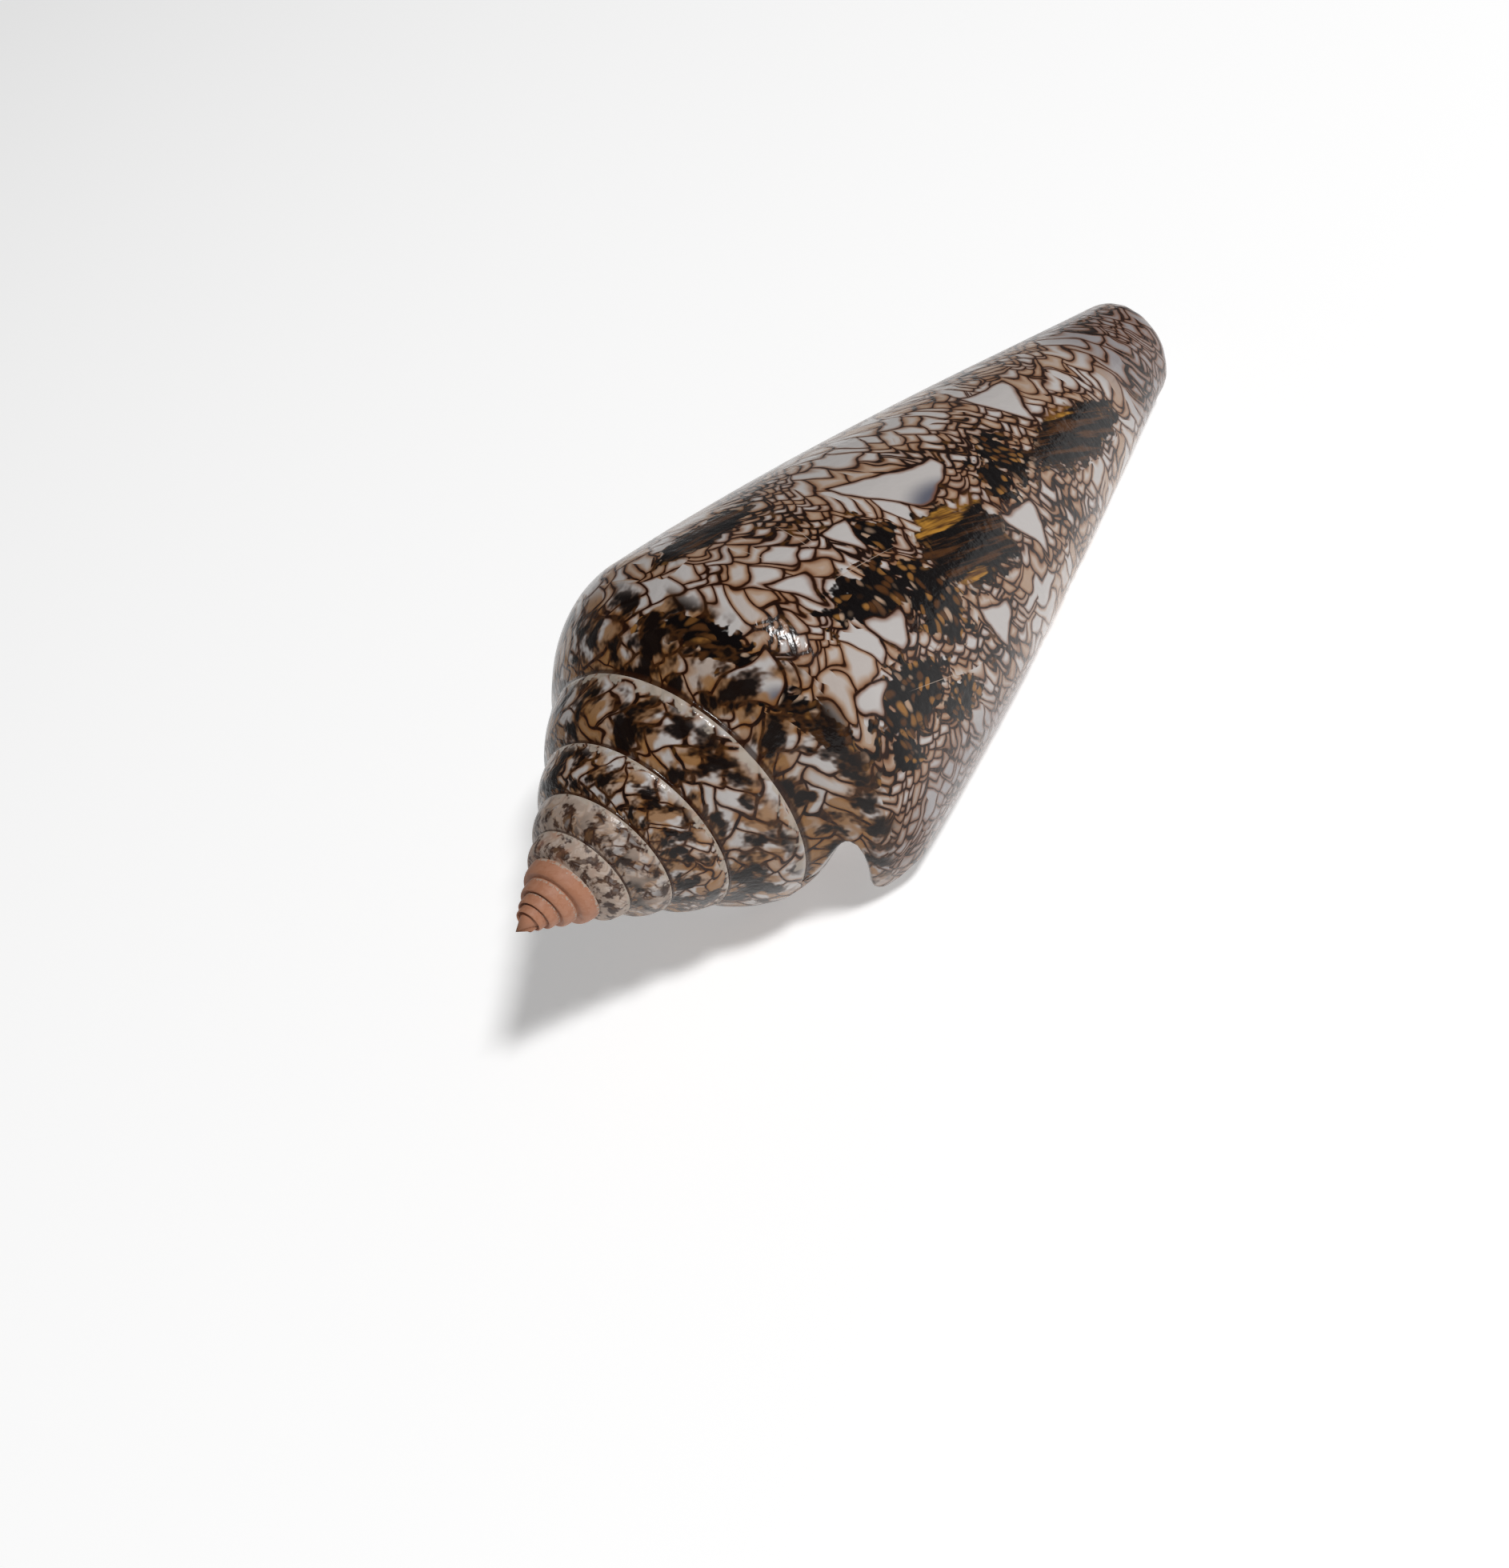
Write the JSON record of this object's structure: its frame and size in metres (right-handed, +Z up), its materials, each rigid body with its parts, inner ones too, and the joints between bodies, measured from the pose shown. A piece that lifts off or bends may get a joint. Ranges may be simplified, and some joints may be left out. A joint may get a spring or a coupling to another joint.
{
  "type": "cone shell",
  "caption": "Tall-spired cone shell with a stepped spire, a long tapering body whorl and a narrow slit aperture, lying on its lip.",
  "frame": {"origin": "on the surface the shell rests on, under the middle of its bounding box", "axes": "+X from the apex of the spire to the front end, seen from above; +Z up; the aperture faces down and to -Y"},
  "size_m": [0.0832, 0.0316, 0.0287],
  "materials": {
    "shell": "glossy shell, white tents outlined in maroon brown with near black and amber blotches, salmon apex"
  },
  "bodies": {
    "root": {"shell": "shell"}
  },
  "joints": []
}
